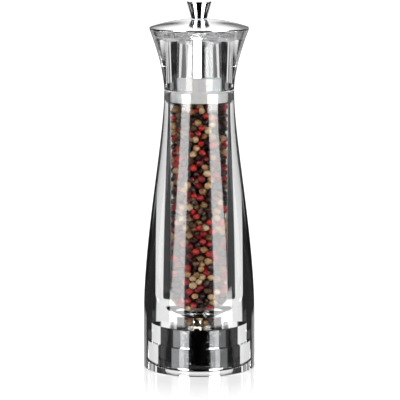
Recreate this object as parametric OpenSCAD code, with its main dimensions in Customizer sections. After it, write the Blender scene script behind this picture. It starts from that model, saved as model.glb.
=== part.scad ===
// Pepper mill: a clear waisted body, a flared turning head with a domed chrome
// cap, a knob that sets the grind, and a grinder cartridge in the foot.
// Millimetres, +Z up. The origin is the centre of the foot.

/* [Body] */
// Height of the clear body
body_h = 167; // [160:0.5:175]
// Outer radius at the foot
foot_r = 33.4; // [32.5:0.1:36]
// Outer radius at the neck
neck_r = 20.8; // [20.4:0.1:22]
// Radius of the bore that holds the peppercorns
bore_r = 17.5; // [17.2:0.1:18]
// Radius of the rounded floor of the bore
bore_floor_r = 13; // [11:0.5:13.5]
// Radius of the throat that feeds the burrs
throat_r = 10; // [9.5:0.1:10.4]

/* [Head] */
// Height of the clear head
head_h = 36.1; // [34:0.1:40]
// Radius at the head's rim
rim_r = 29.4; // [28:0.1:31]
// Radius of the cavity in the head
cavity_r = 13.3; // [12.5:0.1:14]
// Radius of the recess in the head's top
recess_r = 15; // [14:0.1:16]
// Radius of the sphere that the domed cap is cut from
dome_r = 90; // [84:1:110]

/* [Shaft] */
// Width across the flats of the square shaft
shaft_w = 5; // [4.8:0.1:5.2]
// Angle of the square shaft about the axis
shaft_turn = -24; // [-45:1:45]

/* [Knob] */
// Radius at the bottom of the knob
knob_foot_r = 4.7; // [4.4:0.1:5.2]
// Radius at the top of the knob
knob_top_r = 7.2; // [6.5:0.1:8]

/* [Grinder] */
// Outer radius of the upper chrome ring
collar_r = 18.95; // [18.5:0.05:19.2]
// Outer radius of the lower chrome ring
base_ring_r = 20.5; // [20:0.1:21]
// Height of the joint between the two chrome rings
ring_joint_z = 15; // [14.8:0.1:15.4]
// Number of grinding teeth on each burr
tooth_count = 30; // [20:1:36]

/* [Hidden] */

smooth = 128;                       // sides of the large round surfaces
fine = 48;                          // sides of the small round surfaces
eps = 0.01;
slip = 0.05;                        // radial clearance of a running fit

// body
foot_chamfer = 0.6;
waist_start_z = 28;                 // the waist curve leaves the straight foot here
waist_low_pull = 51;                // length of the waist curve's lower handle
waist_high_pull = 29.5;             // length of the waist curve's upper handle
bore_floor_z = 44;                  // the bore's straight wall ends here
collar_seat_z = 26.3;               // ceiling of the cartridge's seat
seat_gap = 0.1;

// burrs
burr_z0 = 4;
rotor_top_z = 14;
rotor_foot_r = 9.4;
burr_slope = 0.436;                 // radius gained per millimetre down the cone
burr_gap = 0.6;                     // radial gap at the coarsest setting
fine_teeth_h = 4;
rotor_head_r = rotor_foot_r - burr_slope * (rotor_top_z - burr_z0);
stator_foot_r = rotor_foot_r + burr_gap;
stator_waist_r = stator_foot_r - burr_slope * fine_teeth_h;
stator_mouth_r = stator_waist_r + 0.7;
stator_outer_r = 13;

// bridge, bush and spring
bridge_z0 = 21;
bridge_h = 3;
bridge_ring_r = 15.95;
feed_r = 11.6;                      // the way past the bridge and the collar
hub_r = 6.7;
bush_r = 4.6;
bush_flange_r = 5.8;
bush_flange_h = 0.8;
bush_top_z = 25.2;
clip_z0 = bridge_z0 + bridge_h + 0.1;
clip_h = 0.6;
washer_h = 0.8;
spring_wire = 0.8;
spring_turns = 4;
spring_r = 4.6;
spring_z0 = rotor_top_z + washer_h;
spring_z1 = bridge_z0 - bush_flange_h;
bridge_screw_r = 13.75;
base_screw_r = 16.6;

// shaft
shaft_z0 = 6;
thread_z0 = 203.4;
thread_pitch = 0.8;
thread_turns = 15;
thread_r = 2.4;
thread_root_r = 2.0;
shaft_clear_r = 3.65;               // round hole that the square shaft turns in

// head
ring_h = 0.4;
head_z0 = body_h + ring_h + 0.1;
head_top_z = head_z0 + head_h;
flare_power = 1.6;
recess_h = 2.5;
recess_cone_h = 2;                  // height of the cone between the recess and the cavity
plug_z0 = body_h - 6.5;
plug_r = bore_r - 0.2;
plug_top_z = head_z0 + 8.5;
plate_h = 1.4;
plate_r = 10;
plate_screw_r = 7.4;
plug_screw_depth = 7;
ferrule_r = 4.6;
ferrule_flange_r = 5.2;
ferrule_flange_h = 0.8;
nut_h = 2.2;
dome_z = head_top_z + 5.85;         // height of the dome's apex
dome_t = 1.2;
dome_flat_z = dome_z - 0.12;
cap_land_w = 3.5;
cap_plate_h = 0.8;

// knob
knob_z0 = dome_flat_z + 0.4;
knob_h = 220 - 209.88;
insert_r = 3.6;

function lerp(a, b, t) = a + (b - a) * t;
function bezier(a, b, c, d, t) =
    lerp(lerp(lerp(a, b, t), lerp(b, c, t), t), lerp(lerp(b, c, t), lerp(c, d, t), t), t);
function arc(cx, cz, r, a0, a1, n) =
    [for (i = [0:n]) let (a = lerp(a0, a1, i / n)) [cx + r * cos(a), cz + r * sin(a)]];
function waist() =
    [for (i = [0:24]) bezier([foot_r, waist_start_z], [foot_r, waist_start_z + waist_low_pull],
        [neck_r, body_h - 0.5 - waist_high_pull], [neck_r, body_h - 0.5], i / 24)];
function flare() =
    [for (i = [0:16]) [neck_r + 0.05 + (rim_r - neck_r - 0.05) * pow(i / 16, flare_power),
        lerp(head_z0 + 0.4, head_top_z, i / 16)]];
function dome(drop, r) =
    [for (i = [0:12]) let (x = r * i / 12) [x, dome_z - drop - dome_r + sqrt(dome_r * dome_r - x * x)]];

module turned(outline, sides = smooth) {
    rotate_extrude($fn = sides) polygon(outline);
}

module tube(r_out, r_in, z0, z1, sides = fine) {
    difference() {
        translate([0, 0, z0]) cylinder(r = r_out, h = z1 - z0, $fn = sides);
        translate([0, 0, z0 - 1]) cylinder(r = r_in, h = z1 - z0 + 2, $fn = sides);
    }
}

module around(count, r, start = 0) {
    for (i = [0:count - 1])
        rotate([0, 0, start + i * 360 / count]) translate([r, 0, 0]) children();
}

module square_bar(w, z0, z1) {
    rotate([0, 0, shaft_turn]) translate([-w / 2, -w / 2, z0]) cube([w, w, z1 - z0]);
}

// a pan-head screw on the axis, head up, its head's underside at z = 0
module pan_screw(head_r, head_h, shank_r, length) {
    difference() {
        union() {
            turned([[0, 0], [head_r, 0], [head_r, head_h * 0.5], [head_r * 0.7, head_h], [0, head_h]], fine);
            translate([0, 0, -length]) cylinder(r = shank_r, h = length + eps, $fn = fine);
        }
        for (a = [0, 90])
            rotate([0, 0, a]) translate([-head_r * 0.5, -head_r * 0.11, head_h * 0.45])
                cube([head_r, head_r * 0.22, head_h]);
    }
}

// one V groove cut along a cone: r and z are its middle, lean the cone's half angle
module groove(r, z, lean, skew, w, length) {
    translate([r, 0, z]) rotate([skew, lean, 0]) rotate([0, 0, 45])
        cube([w, w, length], center = true);
}

module body() {
    color([0.86, 0.9, 0.92, 0.35]) turned(concat(
        [[base_ring_r + seat_gap, 0], [foot_r - foot_chamfer, 0], [foot_r, foot_chamfer]],
        waist(),
        [[neck_r - 0.5, body_h], [bore_r, body_h]],
        arc(bore_r - bore_floor_r, bore_floor_z, bore_floor_r, 0,
            -acos((throat_r - bore_r + bore_floor_r) / bore_floor_r), 12),
        [[throat_r, collar_seat_z], [collar_r + seat_gap / 2, collar_seat_z],
            [collar_r + seat_gap / 2, ring_joint_z], [base_ring_r + seat_gap, ring_joint_z]]));
}

module peppercorns() {
    gap = 0.5;
    r = bore_floor_r - gap;
    color("saddlebrown") turned(concat(
        [[shaft_clear_r + 0.25, plug_z0 - gap], [bore_r - gap, plug_z0 - gap]],
        arc(bore_r - bore_floor_r, bore_floor_z, r, 0,
            -acos((throat_r - gap - bore_r + bore_floor_r) / r), 12),
        [[throat_r - gap, collar_seat_z + 0.6], [shaft_clear_r + 0.25, collar_seat_z + 0.6]]));
}

module grinder_collar() {
    bridge_seat_r = bridge_ring_r + slip;
    chamfer = 0.6;
    color("silver") difference() {
        turned([[feed_r, ring_joint_z], [collar_r, ring_joint_z], [collar_r, collar_seat_z - chamfer - 0.1],
            [collar_r - chamfer, collar_seat_z - 0.1], [bridge_seat_r, collar_seat_z - 0.1],
            [bridge_seat_r, bridge_z0], [feed_r, bridge_z0]]);
        translate([0, 0, bridge_z0 - 4.5]) around(3, bridge_screw_r, 60)
            cylinder(r = 1.25, h = 5, $fn = fine);
        translate([0, 0, ring_joint_z - eps]) around(3, base_screw_r)
            cylinder(r = 1.25, h = 5, $fn = fine);
    }
}

module base_ring() {
    lip_r = 11.4;
    foot_z = 1;
    head_recess_h = 2.2;
    color("silver") difference() {
        turned([[lip_r, foot_z], [base_ring_r - 0.4, foot_z], [base_ring_r, foot_z + 0.4],
            [base_ring_r, ring_joint_z - 0.35], [base_ring_r - 0.3, ring_joint_z - 0.05],
            [stator_outer_r, ring_joint_z - 0.05], [stator_outer_r, burr_z0], [lip_r, burr_z0]]);
        translate([0, 0, foot_z - eps]) around(3, base_screw_r)
            cylinder(r = 2.3, h = head_recess_h, $fn = fine);
        translate([0, 0, foot_z]) around(3, base_screw_r)
            cylinder(r = 1.3, h = ring_joint_z, $fn = fine);
    }
}

module stator_burr() {
    top_z = ring_joint_z - 0.05;
    waist_z = burr_z0 + fine_teeth_h;
    feed_flutes = 6;
    color("dimgray") difference() {
        turned([[stator_foot_r, burr_z0], [stator_outer_r, burr_z0], [stator_outer_r, top_z],
            [stator_mouth_r, top_z], [stator_waist_r, waist_z]], fine);
        around(tooth_count, 0)
            groove((stator_foot_r + stator_waist_r) / 2, burr_z0 + fine_teeth_h / 2,
                -atan(burr_slope), 12, 0.55, fine_teeth_h + 2);
        around(feed_flutes, 0)
            groove(stator_waist_r + 0.35, (waist_z + top_z) / 2, 4, 15, 1.8, top_z - waist_z + 1);
    }
}

module bridge() {
    arm_w = 3;
    color("lightgray") difference() {
        union() {
            tube(bridge_ring_r, feed_r, bridge_z0, bridge_z0 + bridge_h, smooth);
            translate([0, 0, bridge_z0]) cylinder(r = hub_r, h = bridge_h, $fn = fine);
            for (a = [0, 120, 240])
                rotate([0, 0, a]) translate([0, -arm_w / 2, bridge_z0])
                    cube([feed_r + 1, arm_w, bridge_h]);
        }
        translate([0, 0, bridge_z0 - 1]) cylinder(r = bush_r + slip, h = bridge_h + 2, $fn = fine);
        translate([0, 0, bridge_z0 - 1]) around(3, bridge_screw_r, 60)
            cylinder(r = 1.3, h = bridge_h + 2, $fn = fine);
    }
}

module bridge_screws() {
    color("gray") translate([0, 0, bridge_z0 + bridge_h]) around(3, bridge_screw_r, 60)
        pan_screw(1.9, 1.4, 1.2, bridge_h + 4);
}

module base_screws() {
    head_h = 1.4;
    color("gray") translate([0, 0, 1 + 2.2]) around(3, base_screw_r)
        mirror([0, 0, 1]) pan_screw(2.1, head_h, 1.2, ring_joint_z + 4.5 - 3.2);
}

module neck_slip_ring() {
    color("white") tube(neck_r - 0.7, bore_r + 0.5, body_h, body_h + ring_h, smooth);
}

module bearing_bush() {
    groove_r = bush_r - 0.4;
    color("goldenrod") difference() {
        turned([[0, spring_z1], [bush_flange_r, spring_z1], [bush_flange_r, bridge_z0 - 0.02],
            [bush_r, bridge_z0 - 0.02], [bush_r, clip_z0 - 0.05], [groove_r, clip_z0 - 0.05],
            [groove_r, clip_z0 + clip_h + 0.05], [bush_r, clip_z0 + clip_h + 0.05],
            [bush_r, bush_top_z], [0, bush_top_z]], fine);
        square_bar(shaft_w + 2 * slip, spring_z1 - 1, bush_top_z + 1);
    }
}

module bush_circlip() {
    color("dimgray") difference() {
        tube(bush_r + 1, bush_r - 0.4, clip_z0, clip_z0 + clip_h);
        translate([0, -1.2, clip_z0 - 1]) cube([bush_r + 2, 2.4, clip_h + 2]);
    }
}

module burr_spring() {
    sides = 8;
    steps = spring_turns * 16;
    z0 = spring_z0 + spring_wire / 2 + 0.02;
    z1 = spring_z1 - spring_wire / 2 - 0.02;
    points = [for (i = [0:steps]) let (a = 360 * spring_turns * i / steps, z = lerp(z0, z1, i / steps))
        for (k = [0:sides - 1]) let (b = 360 * k / sides, r = spring_r + spring_wire / 2 * cos(b))
            [r * cos(a), r * sin(a), z + spring_wire / 2 * sin(b)]];
    walls = [for (i = [0:steps - 1]) for (k = [0:sides - 1]) let (m = (k + 1) % sides)
        [i * sides + k, i * sides + m, (i + 1) * sides + m, (i + 1) * sides + k]];
    low_end = [for (k = [0:sides - 1]) sides - 1 - k];
    high_end = [for (k = [0:sides - 1]) steps * sides + k];
    color("silver") polyhedron(points, concat([low_end], walls, [high_end]));
}

module drive_shaft() {
    color("silver") difference() {
        union() {
            square_bar(shaft_w, shaft_z0, thread_z0);
            turned(concat([[0, thread_z0 - 0.5], [thread_root_r, thread_z0 - 0.5]],
                [for (i = [0:thread_turns - 1]) for (p = [[thread_root_r, 0], [thread_r, thread_pitch / 2]])
                    [p[0], thread_z0 + i * thread_pitch + p[1]]],
                [[thread_root_r, thread_z0 + thread_turns * thread_pitch],
                    [0, thread_z0 + thread_turns * thread_pitch]]), fine);
        }
        translate([0, 0, shaft_z0 - 1]) cylinder(r = 1.3, h = 8, $fn = fine);
    }
}

module rotor_burr() {
    recess_z = shaft_z0;
    feed_flutes = 6;
    flute_z0 = burr_z0 + fine_teeth_h;
    flute_mid_r = (rotor_head_r + rotor_foot_r) / 2 - 0.4;
    color("dimgray") difference() {
        turned([[0, burr_z0], [rotor_foot_r, burr_z0], [rotor_head_r, rotor_top_z], [0, rotor_top_z]], fine);
        square_bar(shaft_w + 2 * slip, burr_z0, rotor_top_z + 1);
        translate([0, 0, burr_z0 - 1]) cylinder(r = 4.8, h = recess_z - burr_z0 + 1, $fn = fine);
        around(tooth_count, 0)
            groove(rotor_foot_r - burr_slope * fine_teeth_h / 2, burr_z0 + fine_teeth_h / 2,
                -atan(burr_slope), -12, 0.55, fine_teeth_h + 1);
        around(feed_flutes, 0)
            groove(flute_mid_r - 0.5, (flute_z0 + rotor_top_z) / 2 + 1,
                -atan(burr_slope), -25, 1.5, rotor_top_z - flute_z0 + 2);
    }
}

module thrust_washer() {
    color("gainsboro") tube(5.6, shaft_clear_r, rotor_top_z, rotor_top_z + washer_h);
}

module rotor_washer() {
    color("gainsboro") tube(4.5, 1.4, shaft_z0 - washer_h, shaft_z0);
}

module rotor_screw() {
    color("gray") translate([0, 0, shaft_z0 - washer_h]) mirror([0, 0, 1])
        pan_screw(2.7, 1.6, 1.25, 6.5);
}

module head() {
    lip = 0.5;
    color([0.86, 0.9, 0.92, 0.35]) difference() {
        turned(concat([[0, head_z0], [neck_r + 0.05 - lip, head_z0]], flare(), [[0, head_top_z]]));
        turned([[0, head_z0 - 1], [cavity_r, head_z0 - 1], [cavity_r, head_top_z - recess_h - recess_cone_h],
            [recess_r, head_top_z - recess_h], [recess_r, head_top_z + 1], [0, head_top_z + 1]]);
    }
}

module head_cap() {
    land_r = rim_r - cap_land_w;
    color("silver") difference() {
        turned(concat(dome(0, rim_r + 0.1), [[rim_r + 0.1, head_top_z + 0.3],
            [rim_r - 0.1, head_top_z], [land_r, head_top_z]],
            [for (i = [12:-1:0]) dome(dome_t, land_r)[i]]));
        translate([0, 0, head_z0]) cylinder(r = thread_r + 0.35, h = head_h * 2, $fn = fine);
        translate([0, 0, dome_flat_z]) cylinder(r = 12, h = 5, $fn = fine);
    }
}

module cap_plate() {
    color("silver")
        tube(rim_r - cap_land_w - 0.05, ferrule_r + slip, head_top_z, head_top_z + cap_plate_h, smooth);
}

module head_ferrule() {
    top_z = head_top_z + cap_plate_h + nut_h + 0.4;
    color("silver") difference() {
        turned([[0, head_top_z - ferrule_flange_h], [ferrule_flange_r, head_top_z - ferrule_flange_h],
            [ferrule_flange_r, head_top_z], [ferrule_r, head_top_z], [ferrule_r, top_z], [0, top_z]], fine);
        translate([0, 0, head_z0]) cylinder(r = shaft_clear_r, h = head_h * 2, $fn = fine);
    }
}

module ferrule_nut() {
    flat_w = 12;
    z0 = head_top_z + cap_plate_h;
    color("silver") difference() {
        translate([0, 0, z0]) cylinder(r = flat_w / 2 / cos(30), h = nut_h, $fn = 6);
        translate([0, 0, z0 - 1]) cylinder(r = ferrule_r, h = nut_h + 2, $fn = fine);
    }
}

module drive_bush() {
    color("white") difference() {
        turned([[shaft_clear_r + 0.15, plug_z0], [plug_r - 0.4, plug_z0], [plug_r, plug_z0 + 0.4],
            [plug_r, head_z0 - 0.02], [cavity_r - 0.02, head_z0 - 0.02], [cavity_r - 0.02, plug_top_z - 0.5],
            [cavity_r - 0.5, plug_top_z], [shaft_clear_r + 0.15, plug_top_z]]);
        translate([0, 0, plug_z0 - 1]) cylinder(r = plate_r + 0.05, h = plate_h + 1, $fn = smooth);
        translate([0, 0, plug_z0]) around(3, plate_screw_r, 30) cylinder(r = 0.85, h = plug_screw_depth, $fn = fine);
    }
}

module drive_plate() {
    color("silver") difference() {
        translate([0, 0, plug_z0]) cylinder(r = plate_r, h = plate_h, $fn = smooth);
        square_bar(shaft_w + 2 * slip, plug_z0 - 1, plug_z0 + plate_h + 1);
        translate([0, 0, plug_z0 - 1]) around(3, plate_screw_r, 30) cylinder(r = 1, h = 5, $fn = fine);
        translate([0, 0, plug_z0 - 1]) around(3, plate_screw_r, 30) cylinder(r = 1.7, h = 1.8, $fn = fine);
    }
}

module drive_plate_screws() {
    color("gray") translate([0, 0, plug_z0 + 0.8]) around(3, plate_screw_r, 30)
        mirror([0, 0, 1]) pan_screw(1.6, 0.8, 0.8, 4.6);
}

module knob_washer() {
    color("white") tube(4.4, thread_r + 0.35, dome_flat_z, dome_flat_z + 0.35);
}

module knob() {
    z1 = knob_z0 + knob_h;
    edge = 0.35;
    color("silver") difference() {
        turned([[0, knob_z0], [knob_foot_r - 0.2, knob_z0], [knob_foot_r, knob_z0 + 0.3],
            [knob_top_r, z1 - 1], [knob_top_r + 0.05, z1 - edge], [knob_top_r - edge, z1], [0, z1]]);
        translate([0, 0, knob_z0 - 1]) cylinder(r = insert_r, h = 8.6, $fn = fine);
    }
}

module knob_insert() {
    color("goldenrod") tube(insert_r, thread_r + slip, knob_z0, knob_z0 + 7.4);
}

body();
peppercorns();
grinder_collar();
base_ring();
stator_burr();
bridge();
bridge_screws();
base_screws();
neck_slip_ring();
bearing_bush();
bush_circlip();
burr_spring();
drive_shaft();
rotor_burr();
thrust_washer();
rotor_washer();
rotor_screw();
head();
head_cap();
cap_plate();
head_ferrule();
ferrule_nut();
drive_bush();
drive_plate();
drive_plate_screws();
knob_washer();
knob();
knob_insert();
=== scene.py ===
"""Pepper mill: clear acrylic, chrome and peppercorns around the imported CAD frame. Metres, +Z up."""

import math

import bmesh
import bpy
import numpy as np
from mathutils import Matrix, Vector, noise


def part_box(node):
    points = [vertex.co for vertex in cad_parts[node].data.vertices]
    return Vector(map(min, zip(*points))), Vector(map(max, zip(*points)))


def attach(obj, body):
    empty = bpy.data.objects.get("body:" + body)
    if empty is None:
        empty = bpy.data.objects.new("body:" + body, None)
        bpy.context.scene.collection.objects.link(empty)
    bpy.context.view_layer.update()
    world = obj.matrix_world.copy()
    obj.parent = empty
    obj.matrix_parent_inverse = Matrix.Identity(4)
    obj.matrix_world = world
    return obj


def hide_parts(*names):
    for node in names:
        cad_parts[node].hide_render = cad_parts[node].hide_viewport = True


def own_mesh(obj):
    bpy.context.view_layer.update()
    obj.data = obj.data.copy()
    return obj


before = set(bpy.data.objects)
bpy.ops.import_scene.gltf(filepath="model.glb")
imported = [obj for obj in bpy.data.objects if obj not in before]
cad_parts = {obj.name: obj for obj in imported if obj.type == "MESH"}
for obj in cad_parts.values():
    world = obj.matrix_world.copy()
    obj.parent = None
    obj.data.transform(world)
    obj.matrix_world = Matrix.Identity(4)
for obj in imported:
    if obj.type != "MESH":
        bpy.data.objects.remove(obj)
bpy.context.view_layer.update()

MM = 0.001

# ---------------------------------------------------------------- dimensions
# Outer sizes come from the frame; the rest repeats the CAD model's own values.
FOOT_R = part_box("body")[1].x
BODY_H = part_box("body")[1].z
NECK_R = 20.8 * MM
BORE_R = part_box("drive_bush")[1].x + 0.2 * MM
BORE_FLOOR_R = 13 * MM
BORE_FLOOR_Z = 44 * MM
THROAT_R = 10 * MM
SEAT_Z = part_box("grinder_collar")[1].z + 0.1 * MM
COLLAR_SEAT_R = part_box("grinder_collar")[1].x + 0.05 * MM
RING_SEAT_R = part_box("base_ring")[1].x + 0.1 * MM
RING_JOINT_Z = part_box("grinder_collar")[0].z
WAIST_START_Z = 28 * MM
WAIST_LOW_PULL = 51 * MM
WAIST_HIGH_PULL = 29.5 * MM

HEAD_Z0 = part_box("head")[0].z
HEAD_Z1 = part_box("head")[1].z
RIM_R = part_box("head")[1].x
CAVITY_R = 13.3 * MM
RECESS_R = 15 * MM
RECESS_H = 2.5 * MM
RECESS_CONE_H = 2 * MM
SEAM = 0.03 * MM    # the gap left between clear acrylic and what touches it
FLARE_POWER = 1.6
DOME_R = 90 * MM
DOME_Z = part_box("head_cap")[1].z + 0.12 * MM

SHAFT_SWEEP_R = 3.65 * MM
GRAIN_CLEAR = 0.1 * MM
PEPPER_Z0 = SEAT_Z + 0.3 * MM
PEPPER_Z1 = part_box("drive_bush")[0].z - 0.3 * MM


# ---------------------------------------------------------------- mesh helpers
def lerp(a, b, t):
    return a + (b - a) * t


def bezier(a, b, c, d, steps):
    """Points along a cubic curve, both ends included."""
    a, b, c, d = (np.array(p, float) for p in (a, b, c, d))
    out = []
    for t in np.linspace(0, 1, steps + 1):
        s = 1 - t
        out.append(tuple(s**3 * a + 3 * s * s * t * b + 3 * s * t * t * c + t**3 * d))
    return out


def arc(cx, cz, r, a0, a1, steps):
    """Points on a circle from a0 to a1 degrees, both ends included."""
    angles = np.radians(np.linspace(a0, a1, steps + 1))
    return [(cx + r * math.cos(a), cz + r * math.sin(a)) for a in angles]


def add_mesh(name, verts, faces):
    mesh = bpy.data.meshes.new(name)
    mesh.from_pydata(verts, [], faces)
    piece = bpy.data.objects.new(name, mesh)
    bpy.context.scene.collection.objects.link(piece)
    return piece


def hold_flat(outline, edge=0.25 * MM, long=3.5 * MM):
    """Adds a point near each end of every long side, so that smooth shading leaves it flat."""
    out = []
    for a, b in zip(outline, outline[1:] + outline[:1]):
        out.append(a)
        share = edge / max(math.dist(a, b), 1e-9)
        if share < edge / long:
            out += [(lerp(a[0], b[0], t), lerp(a[1], b[1], t)) for t in (share, 1 - share)]
    return out


def lathe(name, outline, segments=160, sharp=28):
    """Turns a closed outline of (radius, height) points about the shaft's axis."""
    bm = bmesh.new()
    turn = [2 * math.pi * k / segments for k in range(segments)]
    rings = []
    for r, z in hold_flat(outline):
        if r < 1e-7:
            rings.append([bm.verts.new((0, 0, z))] * segments)
        else:
            rings.append([bm.verts.new((r * math.cos(a), r * math.sin(a), z)) for a in turn])
    for i, low in enumerate(rings):
        high = rings[(i + 1) % len(rings)]
        for k in range(segments):
            m = (k + 1) % segments
            corners = list(dict.fromkeys((low[k], low[m], high[m], high[k])))
            if len(corners) > 2:
                bm.faces.new(corners)
    bmesh.ops.recalc_face_normals(bm, faces=bm.faces)
    mesh = bpy.data.meshes.new(name)
    bm.to_mesh(mesh)
    bm.free()
    mesh.shade_smooth()
    mesh.set_sharp_from_angle(angle=math.radians(sharp))
    piece = bpy.data.objects.new(name, mesh)
    bpy.context.scene.collection.objects.link(piece)
    return piece


def fit(piece, body, nodes, material):
    """Rides the piece on its body, lets it stand for CAD nodes, and gives it its material."""
    piece.data.materials.clear()
    piece.data.materials.append(material)
    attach(piece, body)
    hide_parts(*nodes)
    return piece


# ---------------------------------------------------------------- material helpers
class Nodes:
    """A short way to write a node tree."""

    def __init__(self, tree):
        self.tree = tree

    def add(self, kind, **inputs):
        node = self.tree.nodes.new(kind)
        for key, value in inputs.items():
            self.put(node, key.replace("_", " "), value)
        return node

    def put(self, node, socket, value):
        target = node.inputs[socket]
        if isinstance(value, bpy.types.NodeSocket):
            self.tree.links.new(value, target)
        else:
            target.default_value = value

    def math(self, operation, a, b=0.0):
        node = self.tree.nodes.new("ShaderNodeMath")
        node.operation = operation
        self.put(node, 0, a)
        self.put(node, 1, b)
        return node.outputs[0]

    def mix(self, amount, a, b):
        """a where amount is 0, b where it is 1, for plain numbers."""
        node = self.tree.nodes.new("ShaderNodeMix")
        self.put(node, 0, amount)
        self.put(node, 2, a)
        self.put(node, 3, b)
        return node.outputs[0]

    def step(self, value, at, soft):
        """0 below at, 1 above it, with a change of soft on each side."""
        node = self.add("ShaderNodeMapRange", From_Min=at - soft, From_Max=at + soft)
        self.put(node, "Value", value)
        return node.outputs[0]

    def ramp(self, value, stops):
        """A colour ramp of (place, colour) stops."""
        node = self.tree.nodes.new("ShaderNodeValToRGB")
        while len(node.color_ramp.elements) > 1:
            node.color_ramp.elements.remove(node.color_ramp.elements[-1])
        for i, (place, colour) in enumerate(stops):
            stop = node.color_ramp.elements[0] if i == 0 else node.color_ramp.elements.new(place)
            stop.position = place
            stop.color = (colour, colour, colour, 1) if isinstance(colour, float) else (*colour, 1)
        self.put(node, "Fac", value)
        return node.outputs["Color"]

    def noise(self, scale, stretch=(1, 1, 1), detail=4.0, roughness=0.5, distortion=0.0):
        """Noise in the piece's own metres, squeezed along each axis by stretch."""
        place = self.tree.nodes.new("ShaderNodeTexCoord")
        size = self.add("ShaderNodeMapping", Scale=tuple(scale * s for s in stretch))
        self.put(size, "Vector", place.outputs["Object"])
        texture = self.add("ShaderNodeTexNoise", Scale=1.0, Detail=detail, Roughness=roughness,
                           Distortion=distortion)
        self.put(texture, "Vector", size.outputs[0])
        return texture.outputs["Fac"]

    def bump(self, height, distance, strength=1.0):
        node = self.add("ShaderNodeBump", Strength=strength, Distance=distance)
        self.put(node, "Height", height)
        return node.outputs[0]


def new_material(name, **values):
    """A Principled material, its plain values on the shader's own sockets."""
    material = bpy.data.materials.new(name)
    material.use_nodes = True
    shader = material.node_tree.nodes["Principled BSDF"]
    for key, value in values.items():
        shader.inputs[key.replace("_", " ")].default_value = value
    return material, shader, Nodes(material.node_tree)


# ---------------------------------------------------------------- materials
def acrylic():
    """Polished cast acrylic: faint ripples from the mould, and fine wiping scratches."""
    material, shader, n = new_material("clear_acrylic", IOR=1.49, Transmission_Weight=1.0)
    tint = n.noise(30, detail=2.0)
    clear = [(0.3, (0.985, 0.992, 0.99)), (0.7, (0.995, 1.0, 0.998))]
    n.put(shader, "Base Color", n.ramp(tint, clear))
    scratch = n.ramp(n.noise(900, stretch=(1, 1, 0.06), detail=2.0), [(0.70, 0.0), (0.76, 0.035)])
    n.put(shader, "Roughness", scratch)
    n.put(shader, "Normal", n.bump(n.noise(55, stretch=(1, 1, 0.5), detail=1.0), 0.00002))
    return material


def turned_acrylic():
    """Acrylic as the lathe leaves it under the cap: wavy, clouded, in rough rings."""
    material, shader, n = new_material("turned_acrylic", IOR=1.49, Transmission_Weight=0.85)
    cuts = n.noise(420, distortion=1.5)
    n.put(shader, "Base Color", n.ramp(cuts, [(0.3, (0.9, 0.9, 0.9)), (0.7, (1.0, 1.0, 1.0))]))
    n.put(shader, "Roughness", n.ramp(cuts, [(0.35, 0.02), (0.7, 0.3)]))
    n.put(shader, "Normal", n.bump(cuts, 0.0009))
    return material


def chrome(name, shade):
    """Mirror chrome over a turned blank, with a haze of fine wiping marks."""
    material, shader, n = new_material(name, Metallic=1.0)
    cloud = n.noise(140, detail=5.0, roughness=0.6)
    dark = tuple(0.93 * c for c in shade)
    n.put(shader, "Base Color", n.ramp(cloud, [(0.35, dark), (0.65, shade)]))
    haze = n.noise(420, stretch=(1, 1, 3), detail=6.0)
    n.put(shader, "Roughness", n.ramp(haze, [(0.4, 0.03), (0.75, 0.085)]))
    n.put(shader, "Normal", n.bump(n.noise(200, detail=2.0), 0.000004))
    return material


def satin_cap():
    """Stainless cap, polished in rings about its centre until it is nearly a mirror."""
    material, shader, n = new_material("satin_cap", Metallic=1.0)
    rings = n.noise(900, stretch=(0.5, 0.5, 3), detail=4.0)
    n.put(shader, "Base Color", n.ramp(rings, [(0.3, (0.74, 0.745, 0.75)), (0.7, (0.83, 0.835, 0.84))]))
    n.put(shader, "Roughness", n.ramp(rings, [(0.3, 0.11), (0.7, 0.16)]))
    n.put(shader, "Normal", n.bump(rings, 0.000004))
    return material


def spun_plate():
    """Bright plate under the cap, rippled by spinning, so that what it mirrors breaks up."""
    material, shader, n = new_material("spun_plate", Metallic=1.0)
    ripples = n.noise(260, distortion=1.5)
    silver = [(0.35, (0.72, 0.72, 0.73)), (0.65, (0.88, 0.88, 0.88))]
    n.put(shader, "Base Color", n.ramp(ripples, silver))
    n.put(shader, "Roughness", n.ramp(ripples, [(0.3, 0.1), (0.7, 0.26)]))
    n.put(shader, "Normal", n.bump(ripples, 0.0012))
    return material


def drawn_steel():
    """Bright bar drawn through a die: fine lines along its length."""
    material, shader, n = new_material("drawn_steel", Metallic=1.0)
    lines = n.noise(2600, stretch=(1, 1, 0.02), detail=3.0)
    n.put(shader, "Base Color", n.ramp(lines, [(0.3, (0.62, 0.62, 0.61)), (0.7, (0.8, 0.8, 0.79))]))
    n.put(shader, "Roughness", n.ramp(lines, [(0.3, 0.1), (0.7, 0.2)]))
    n.put(shader, "Normal", n.bump(lines, 0.00001))
    return material


def burr_steel():
    """Hardened steel, dark and satin, with grinding marks across the teeth."""
    material, shader, n = new_material("burr_steel", Metallic=1.0)
    marks = n.noise(1500, stretch=(1, 1, 4), detail=5.0)
    dark_grey = [(0.3, (0.16, 0.16, 0.165)), (0.75, (0.36, 0.355, 0.35))]
    n.put(shader, "Base Color", n.ramp(marks, dark_grey))
    n.put(shader, "Roughness", n.ramp(marks, [(0.3, 0.28), (0.7, 0.48)]))
    n.put(shader, "Normal", n.bump(marks, 0.00002))
    return material


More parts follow.
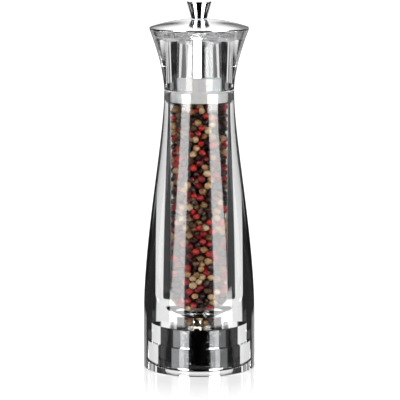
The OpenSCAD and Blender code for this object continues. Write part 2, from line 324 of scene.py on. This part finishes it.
def spring_wire():
    """Hard-drawn wire with a thin oily sheen."""
    material, shader, n = new_material("spring_wire", Metallic=1.0)
    streaks = n.noise(1800, stretch=(1, 1, 5), detail=3.0)
    n.put(shader, "Base Color", n.ramp(streaks, [(0.3, (0.42, 0.42, 0.43)), (0.7, (0.63, 0.62, 0.6))]))
    n.put(shader, "Roughness", n.ramp(streaks, [(0.3, 0.18), (0.7, 0.32)]))
    n.put(shader, "Normal", n.bump(streaks, 0.000008))
    return material


def cast_zinc():
    """Tumbled zinc die casting: a fine even grain."""
    material, shader, n = new_material("cast_zinc", Metallic=1.0)
    grain = n.noise(2200, detail=6.0, roughness=0.7)
    n.put(shader, "Base Color", n.ramp(grain, [(0.3, (0.5, 0.51, 0.52)), (0.7, (0.68, 0.69, 0.7))]))
    n.put(shader, "Roughness", n.ramp(grain, [(0.3, 0.3), (0.7, 0.5)]))
    n.put(shader, "Normal", n.bump(grain, 0.00003))
    return material


def turned_brass():
    """Brass from the lathe: fine rings about the axis."""
    material, shader, n = new_material("turned_brass", Metallic=1.0)
    rings = n.noise(2400, stretch=(0.05, 0.05, 1), detail=3.0)
    n.put(shader, "Base Color", n.ramp(rings, [(0.3, (0.58, 0.41, 0.16)), (0.7, (0.78, 0.6, 0.29))]))
    n.put(shader, "Roughness", n.ramp(rings, [(0.3, 0.18), (0.7, 0.34)]))
    n.put(shader, "Normal", n.bump(rings, 0.00001))
    return material


def nylon():
    """Off-white moulded nylon with a soft mottled gloss."""
    material, shader, n = new_material("moulded_nylon", Subsurface_Weight=0.25, Subsurface_Scale=0.002)
    cloud = n.noise(260, detail=4.0)
    n.put(shader, "Base Color", n.ramp(cloud, [(0.3, (0.74, 0.74, 0.75)), (0.7, (0.82, 0.82, 0.82))]))
    n.put(shader, "Roughness", n.ramp(n.noise(900, detail=4.0), [(0.3, 0.34), (0.7, 0.5)]))
    n.put(shader, "Normal", n.bump(n.noise(1500, detail=3.0), 0.00001))
    return material


def corn_skin(name, colours, wrinkle, roughness):
    """Peppercorn skin: its colour drifts from corn to corn, and its folds are darkened with painted
    shade.
    """
    material, shader, n = new_material(name, Specular_IOR_Level=0.4)
    drift = n.add("ShaderNodeAttribute")
    drift.attribute_name = "corn"
    folds = n.noise(1100, detail=3.0, roughness=0.55, distortion=1.2)
    fine = n.noise(3800, detail=3.0)
    pick = n.math("ADD", n.math("MULTIPLY", drift.outputs["Fac"], 0.7), n.math("MULTIPLY", fine, 0.3))
    base = n.ramp(pick, [(0.12, colours[0]), (0.5, colours[1]), (0.88, colours[2])])
    # painted shade: where the fold bump is low, in the creases, the colour is darkened down to 0.42
    # times, by up to the wrinkle share
    shade = n.ramp(folds, [(0.36, 0.42), (0.56, 1.0)])
    base_with_painted_fold_shade = n.tree.nodes.new("ShaderNodeMix")
    base_with_painted_fold_shade.data_type = "RGBA"
    base_with_painted_fold_shade.blend_type = "MULTIPLY"
    n.put(base_with_painted_fold_shade, 0, wrinkle)
    n.put(base_with_painted_fold_shade, 6, base)
    n.put(base_with_painted_fold_shade, 7, shade)
    n.put(shader, "Base Color", base_with_painted_fold_shade.outputs[2])
    n.put(shader, "Roughness", n.ramp(fine, [(0.3, roughness), (0.75, roughness + 0.2)]))
    n.put(shader, "Normal", n.bump(folds, 0.0004 * wrinkle))
    return material


# ---------------------------------------------------------------- acrylic pieces
def body_outline():
    foot_round = 0.8 * MM
    top_round = 0.5 * MM
    floor_cx = BORE_R - BORE_FLOOR_R
    throat_angle = -math.degrees(math.acos((THROAT_R - floor_cx) / BORE_FLOOR_R))
    waist = bezier((FOOT_R, WAIST_START_Z), (FOOT_R, WAIST_START_Z + WAIST_LOW_PULL),
                   (NECK_R, BODY_H - top_round - WAIST_HIGH_PULL), (NECK_R, BODY_H - top_round), 56)
    return (
        [(RING_SEAT_R, 0)]
        + arc(FOOT_R - foot_round, foot_round, foot_round, -90, 0, 5)
        + waist
        + arc(NECK_R - top_round, BODY_H - top_round, top_round, 15, 90, 4)
        + [(BORE_R + 0.3 * MM, BODY_H), (BORE_R, BODY_H - 0.3 * MM)]
        + arc(floor_cx, BORE_FLOOR_Z, BORE_FLOOR_R, 0, throat_angle, 28)
        + [(THROAT_R, SEAT_Z), (COLLAR_SEAT_R, SEAT_Z), (COLLAR_SEAT_R, RING_JOINT_Z),
           (RING_SEAT_R, RING_JOINT_Z)]
    )


def head_outline():
    foot_r = NECK_R + 0.05 * MM
    edge = 0.5 * MM
    flare = []
    for i in range(41):
        t = i / 40
        height = lerp(HEAD_Z0 + edge, HEAD_Z1 - 0.3 * MM, t)
        flare.append((lerp(foot_r, RIM_R, t**FLARE_POWER), height))
    return (
        [(CAVITY_R, HEAD_Z0), (foot_r - edge, HEAD_Z0)]
        + arc(foot_r - edge, HEAD_Z0 + edge, edge, -75, -15, 3)
        + flare
        + [(RIM_R - 0.25 * MM, HEAD_Z1 - SEAM), (RECESS_R, HEAD_Z1 - SEAM),
           (RECESS_R, HEAD_Z1 - RECESS_H), (CAVITY_R, HEAD_Z1 - RECESS_H - RECESS_CONE_H)]
    )


# ---------------------------------------------------------------- chrome pieces
def cap_outline():
    rim_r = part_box("head_cap")[1].x
    hole_r = 2.75 * MM
    edge = 0.35 * MM
    flat_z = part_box("head_cap")[1].z
    flat_r = math.sqrt(2 * DOME_R * (DOME_Z - flat_z))
    outline = [(hole_r, flat_z), (flat_r, flat_z)]
    for i in range(1, 31):
        x = lerp(flat_r, rim_r - edge, i / 30)
        outline.append((x, DOME_Z - DOME_R + math.sqrt(DOME_R**2 - x * x)))
    lip_z = outline[-1][1] - edge
    thick = 1.2 * MM
    outline += arc(rim_r - edge, lip_z, edge, 70, 0, 4) + [(rim_r - 0.15 * MM, HEAD_Z1)]
    land_r = RIM_R - 3.5 * MM
    outline.append((land_r, HEAD_Z1))
    for i in range(21):
        x = lerp(land_r, hole_r, i / 20)
        outline.append((x, DOME_Z - thick - DOME_R + math.sqrt(DOME_R**2 - x * x)))
    return outline


def knob_outline():
    low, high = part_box("knob")
    foot_r = 4.7 * MM
    edge = 0.4 * MM
    bore_r = 3.6 * MM
    bore_top = low.z + 7.6 * MM
    side = [(foot_r, low.z + edge), (high.x - 0.05 * MM, high.z - 2.5 * edge)]
    return (
        [(0, bore_top), (bore_r, bore_top), (bore_r, low.z)]
        + arc(foot_r - edge, low.z + edge, edge, -90, -20, 3)
        + side
        + arc(high.x - edge, high.z - edge, edge, 0, 90, 5)
        + [(0, high.z)]
    )


# ---------------------------------------------------------------- peppercorns
CORN_R_MM = (1.75, 2.3)     # the smallest and the largest corn
CORN_SEED = 11


def floor_height(d, r):
    """The lowest height at which a corn of radius r may lie at distance d from the axis."""
    cx = BORE_R - BORE_FLOOR_R
    reach = BORE_FLOOR_R - r
    curved = BORE_FLOOR_Z - np.sqrt(np.clip(reach**2 - (d - cx) ** 2, 0, None))
    return np.where(d <= THROAT_R - r, PEPPER_Z0 + r, curved)


def rest_height(xy, r, placed):
    """The height at which a corn dropped at each of the points xy comes to rest on the others."""
    height = floor_height(np.hypot(xy[:, 0], xy[:, 1]), r)
    if len(placed):
        gap = np.hypot(xy[:, 0, None] - placed[:, 0], xy[:, 1, None] - placed[:, 1])
        reach = placed[:, 3] + r
        on_top = placed[:, 2] + np.sqrt(np.clip(reach**2 - gap**2, 0, None))
        height = np.maximum(height, np.where(gap < reach, on_top, -1.0).max(axis=1))
    return height


def keep_inside(xy, r):
    """Moves points to where a corn of radius r clears the bore's wall and the turning shaft."""
    d = np.hypot(xy[:, 0], xy[:, 1])
    wanted = np.clip(d, SHAFT_SWEEP_R + GRAIN_CLEAR + r, BORE_R - GRAIN_CLEAR - r)
    return xy * (wanted / np.maximum(d, 1e-9))[:, None]


def settle_corns(rng):
    """Fills the bore: each corn drops at the lowest of many places, then rolls lower."""
    placed = np.zeros((0, 4))
    tries = 120     # places tried for each corn
    rolls = 40      # places tried round the lowest, at each of three spreads
    near = 380      # how many of the latest corns it can touch
    while True:
        r = rng.uniform(*CORN_R_MM) * MM
        angle = rng.uniform(0, 2 * math.pi, tries)
        d = BORE_R * np.sqrt(rng.uniform(0, 1, tries))
        xy = keep_inside(np.stack([d * np.cos(angle), d * np.sin(angle)], axis=1), r)
        recent = placed[-near:]
        height = rest_height(xy, r, recent)
        best = xy[height.argmin()]
        for spread in (1.6 * MM, 0.6 * MM, 0.2 * MM):
            around = keep_inside(best + rng.normal(0, spread, (rolls, 2)), r)
            around = np.vstack([best, around])
            height = rest_height(around, r, recent)
            best = around[height.argmin()]
        if height.min() + r > PEPPER_Z1:
            return placed
        placed = np.vstack([placed, [best[0], best[1], height.min(), r]])


def corn_shape(seed, wrinkle, lumps):
    """One corn's surface on a unit sphere, its folds cut inwards."""
    bm = bmesh.new()
    bmesh.ops.create_icosphere(bm, subdivisions=2, radius=1.0)
    verts = []
    for v in bm.verts:
        place = v.co * lumps + Vector((seed * 7.3, seed * 1.7, seed * 3.1))
        fold = abs(noise.noise(place)) * 2.0
        verts.append(v.co * (1.0 - wrinkle * max(0.0, 0.6 - fold)))
    faces = [[v.index for v in f.verts] for f in bm.faces]
    bm.free()
    return np.array(verts), np.array(faces)


def random_turn(rng):
    """A rotation matrix, even over all directions."""
    spin = rng.normal(0, 1, 4)
    w, x, y, z = spin / np.linalg.norm(spin)
    return np.array([
        [1 - 2 * (y * y + z * z), 2 * (x * y - z * w), 2 * (x * z + y * w)],
        [2 * (x * y + z * w), 1 - 2 * (x * x + z * z), 2 * (y * z - x * w)],
        [2 * (x * z - y * w), 2 * (y * z + x * w), 1 - 2 * (x * x + y * y)],
    ])


def corn_piece(name, corns, rng, wrinkle, lumps, material):
    """All corns of one colour as one piece, each turned its own way."""
    shapes = [corn_shape(seed, wrinkle, lumps) for seed in range(1, 7)]
    verts, faces, tones, start = [], [], [], 0
    for x, y, z, r in corns:
        shape, sides = shapes[rng.integers(len(shapes))]
        verts.append(shape @ random_turn(rng).T * r + np.array([x, y, z]))
        faces.append(sides + start)
        tones.append(np.full(len(shape), rng.uniform(0, 1)))
        start += len(shape)
    piece = add_mesh(name, np.vstack(verts).tolist(), np.vstack(faces).tolist())
    tone = piece.data.attributes.new("corn", "FLOAT", "POINT")
    tone.data.foreach_set("value", np.concatenate(tones).astype(np.float32))
    piece.data.shade_smooth()
    return fit(piece, "mill_body", ["peppercorns"], material)


CORN_KINDS = {
    # name: share, depth of the folds (five times it, at most 1, also sets their painted shade), folds
    # across a corn, roughness, dark, middle and light colour
    "corns_black": (0.38, 0.26, 2.6, 0.34,
                    (0.014, 0.005, 0.004), (0.045, 0.015, 0.010), (0.11, 0.042, 0.026)),
    "corns_red": (0.31, 0.18, 2.0, 0.26,
                  (0.13, 0.004, 0.006), (0.40, 0.010, 0.014), (0.68, 0.04, 0.03)),
    "corns_tan": (0.2, 0.14, 1.8, 0.32,
                  (0.30, 0.13, 0.05), (0.55, 0.30, 0.13), (0.82, 0.6, 0.36)),
    "corns_brown": (0.11, 0.18, 2.2, 0.42,
                    (0.07, 0.028, 0.010), (0.16, 0.075, 0.028), (0.3, 0.17, 0.07)),
}


def peppercorns():
    rng = np.random.default_rng(CORN_SEED)
    corns = settle_corns(rng)
    shares = [kind[0] for kind in CORN_KINDS.values()]
    chosen = rng.choice(len(shares), size=len(corns), p=shares)
    for index, (name, kind) in enumerate(CORN_KINDS.items()):
        _, wrinkle, lumps, roughness, *colours = kind
        skin = corn_skin(name + "_skin", colours, min(1.0, wrinkle * 5), roughness)
        corn_piece(name, corns[chosen == index], rng, wrinkle, lumps, skin)


# ---------------------------------------------------------------- the mill
CLEAR = acrylic()
CHROME = chrome("mirror_chrome", (0.8, 0.81, 0.82))
SATIN = satin_cap()
SPUN = spun_plate()
STEEL = drawn_steel()
BURR = burr_steel()
WIRE = spring_wire()
ZINC = cast_zinc()
BRASS = turned_brass()
NYLON = nylon()

fit(lathe("clear_body", body_outline(), 192), "mill_body", ["body"], CLEAR)
clear_head = fit(lathe("clear_head", head_outline(), 192), "head", ["head"], CLEAR)
clear_head.data.materials.append(turned_acrylic())
for side in clear_head.data.polygons:
    near_axis = side.center.xy.length < (RECESS_R + RIM_R) / 2
    side.material_index = int(near_axis and side.center.z > HEAD_Z1 - RECESS_H - RECESS_CONE_H)
fit(lathe("chrome_cap", cap_outline(), 160), "head", ["head_cap"], SATIN)
fit(lathe("chrome_knob", knob_outline(), 96), "knob", ["knob"], CHROME)
peppercorns()

CAD_MATERIALS = {
    "grinder_collar": CHROME, "base_ring": CHROME, "cap_plate": SPUN, "head_ferrule": CHROME,
    "ferrule_nut": CHROME,
    "drive_shaft": STEEL, "bridge_screws": STEEL, "base_screws": STEEL, "thrust_washer": STEEL,
    "rotor_washer": STEEL, "rotor_screw": STEEL, "drive_plate": STEEL, "drive_plate_screws": STEEL,
    "stator_burr": BURR, "rotor_burr": BURR, "burr_spring": WIRE, "bush_circlip": WIRE,
    "bridge": ZINC, "bearing_bush": BRASS, "knob_insert": BRASS,
    "neck_slip_ring": NYLON, "drive_bush": NYLON, "knob_washer": NYLON,
}
for node_name, material in CAD_MATERIALS.items():
    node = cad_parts[node_name]
    for slot_index in range(len(node.data.materials)):
        node.data.materials[slot_index] = material

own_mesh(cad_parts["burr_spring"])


# ---------------------------------------------------------------- stage
MIRROR_REACH = 0.09     # how far from the shaft's axis the table's polish shows
MIRROR_SHARE = 0.25     # how much of the table's look there is mirror


def floor():
    """White table, bright by itself, with a faint mirror image of what stands on it."""
    bpy.ops.mesh.primitive_plane_add(size=40)
    plane = bpy.context.object
    plane.name = "floor"
    material, shader, n = new_material("white_table", Roughness=0.6, Emission_Strength=0.8)
    n.put(shader, "Emission Color", (1, 1, 1, 1))
    grey = [(0.3, (0.3, 0.3, 0.3)), (0.7, (0.32, 0.32, 0.32))]
    n.put(shader, "Base Color", n.ramp(n.noise(3, detail=1.0), grey))
    mirror = n.add("ShaderNodeBsdfGlossy", Color=(1, 1, 1, 1), Roughness=0.05)
    place = n.tree.nodes.new("ShaderNodeTexCoord")
    away = n.tree.nodes.new("ShaderNodeVectorMath")
    away.operation = "LENGTH"
    n.put(away, 0, place.outputs["Object"])
    near = n.math("SUBTRACT", 1.0, n.step(away.outputs["Value"], MIRROR_REACH, 0.04))
    both = n.tree.nodes.new("ShaderNodeMixShader")
    n.put(both, 0, n.math("MULTIPLY", near, MIRROR_SHARE))
    n.put(both, 1, shader.outputs[0])
    n.put(both, 2, mirror.outputs[0])
    n.put(n.tree.nodes["Material Output"], "Surface", both.outputs[0])
    plane.data.materials.append(material)
    plane.visible_glossy = False
    plane.visible_transmission = False


BRIGHT = 11.0   # radiance of the two softboxes

# The studio's walls, one list of patches for each band of height. A patch is (azimuth, radiance):
# it starts at that many degrees from the camera's side, + to the right, and runs to the next.
UNDER = [(-180, .85), (-105, .02), (-46, .9), (-40, 0), (40, .9), (46, .02), (105, .85)]
TABLE = [(-180, .85), (-141, .02), (-112, .003), (-86, .33), (-60, .75), (-45, .5), (-32, 0),
         (34, .38), (48, .7), (63, .16), (88, .003), (112, .02), (141, .85)]
TABLE_EDGE = [(-180, .03), (-112, .003), (-86, .3), (-64, BRIGHT), (-31, 0), (31, BRIGHT),
              (72, .3), (88, .003), (112, .03)]
BACK_WALL = [(-180, .02), (-165, .25), (-135, .03), (-104, .9), (-91, .03), (-59, BRIGHT),
             (-31, 0), (31, BRIGHT), (62, .03), (91, .9), (104, .03), (135, .25), (165, .02)]
HIGH_WALL = [(-180, 1.1), (-177, .03), (-174, .6), (-169, .2), (-158, .95), (-148, .02),
             (-59, BRIGHT), (-31, 0), (31, BRIGHT), (62, .02), (148, .95), (158, .2),
             (166, .55), (171, .25), (175, .06), (177, 1.1)]
OVERHEAD = [(-180, 1.3), (-118, .03), (-47, 1.0), (-40, 0), (40, 1.0), (47, .03), (118, 1.3)]

# Above UNDER: each band's lower edge as a height in degrees, how soft that edge is, and its patches
BANDS = [(-22.0, 1.5, TABLE), (-10.4, 0.3, TABLE_EDGE), (-4.5, 0.4, BACK_WALL),
         (3.0, 0.4, HIGH_WALL), (24.0, 5.0, OVERHEAD)]


def wall_ramp(n, turn, patches, soft=0.5):
    """A ramp round the horizon with the patches as shares of BRIGHT, joined over soft degrees."""
    stops = []
    for i, (azimuth, value) in enumerate(patches):
        if i:
            stops.append((azimuth - soft, patches[i - 1][1]))
        stops.append((azimuth + soft if i else azimuth, value))
    stops.append((180, patches[-1][1]))
    return n.ramp(turn, [((azimuth + 180) / 360, value / BRIGHT) for azimuth, value in stops])


def studio():
    """Soft studio light as the surroundings; the camera itself sees plain white."""
    world = bpy.data.worlds.new("studio")
    bpy.context.scene.world = world
    world.use_nodes = True
    world.node_tree.nodes.clear()
    n = Nodes(world.node_tree)
    place = n.add("ShaderNodeTexCoord")
    parts = n.add("ShaderNodeSeparateXYZ", Vector=place.outputs["Generated"])
    turn = n.math("ARCTAN2", parts.outputs["X"], n.math("MULTIPLY", parts.outputs["Y"], -1.0))
    turn = n.math("ADD", n.math("DIVIDE", turn, 2 * math.pi), 0.5)
    height = n.math("MULTIPLY", n.math("ARCSINE", parts.outputs["Z"]), 180 / math.pi)
    value = wall_ramp(n, turn, UNDER)
    for edge, soft, patches in BANDS:
        value = n.mix(n.step(height, edge, soft), value, wall_ramp(n, turn, patches))
    glow = n.add("ShaderNodeBackground", Color=value, Strength=BRIGHT)
    plain = n.add("ShaderNodeBackground", Color=(1, 1, 1, 1), Strength=1.05)
    ray = n.add("ShaderNodeLightPath")
    both = n.tree.nodes.new("ShaderNodeMixShader")
    n.put(both, 0, ray.outputs["Is Camera Ray"])
    n.put(both, 1, glow.outputs[0])
    n.put(both, 2, plain.outputs[0])
    out = n.add("ShaderNodeOutputWorld")
    n.put(out, "Surface", both.outputs[0])


def lamp():
    light = bpy.data.lights.new("top_light", "AREA")
    light.size = 1.0
    light.energy = 8
    holder = bpy.data.objects.new("top_light", light)
    holder.location = (0, 0, 1.2)
    holder.visible_glossy = False
    holder.visible_transmission = False
    bpy.context.scene.collection.objects.link(holder)


def camera():
    eye = Vector((0.5 * MM, -1.492, 0.320))
    aim = Vector((0.5 * MM, 0, 0.101))
    view = bpy.data.cameras.new("camera")
    view.lens = 226.8
    view.sensor_width = 36
    holder = bpy.data.objects.new("camera", view)
    holder.location = eye
    holder.rotation_euler = (aim - eye).to_track_quat("-Z", "Y").to_euler()
    bpy.context.scene.collection.objects.link(holder)
    bpy.context.scene.camera = holder


floor()
studio()
lamp()
camera()
bpy.context.scene.view_settings.view_transform = "Standard"
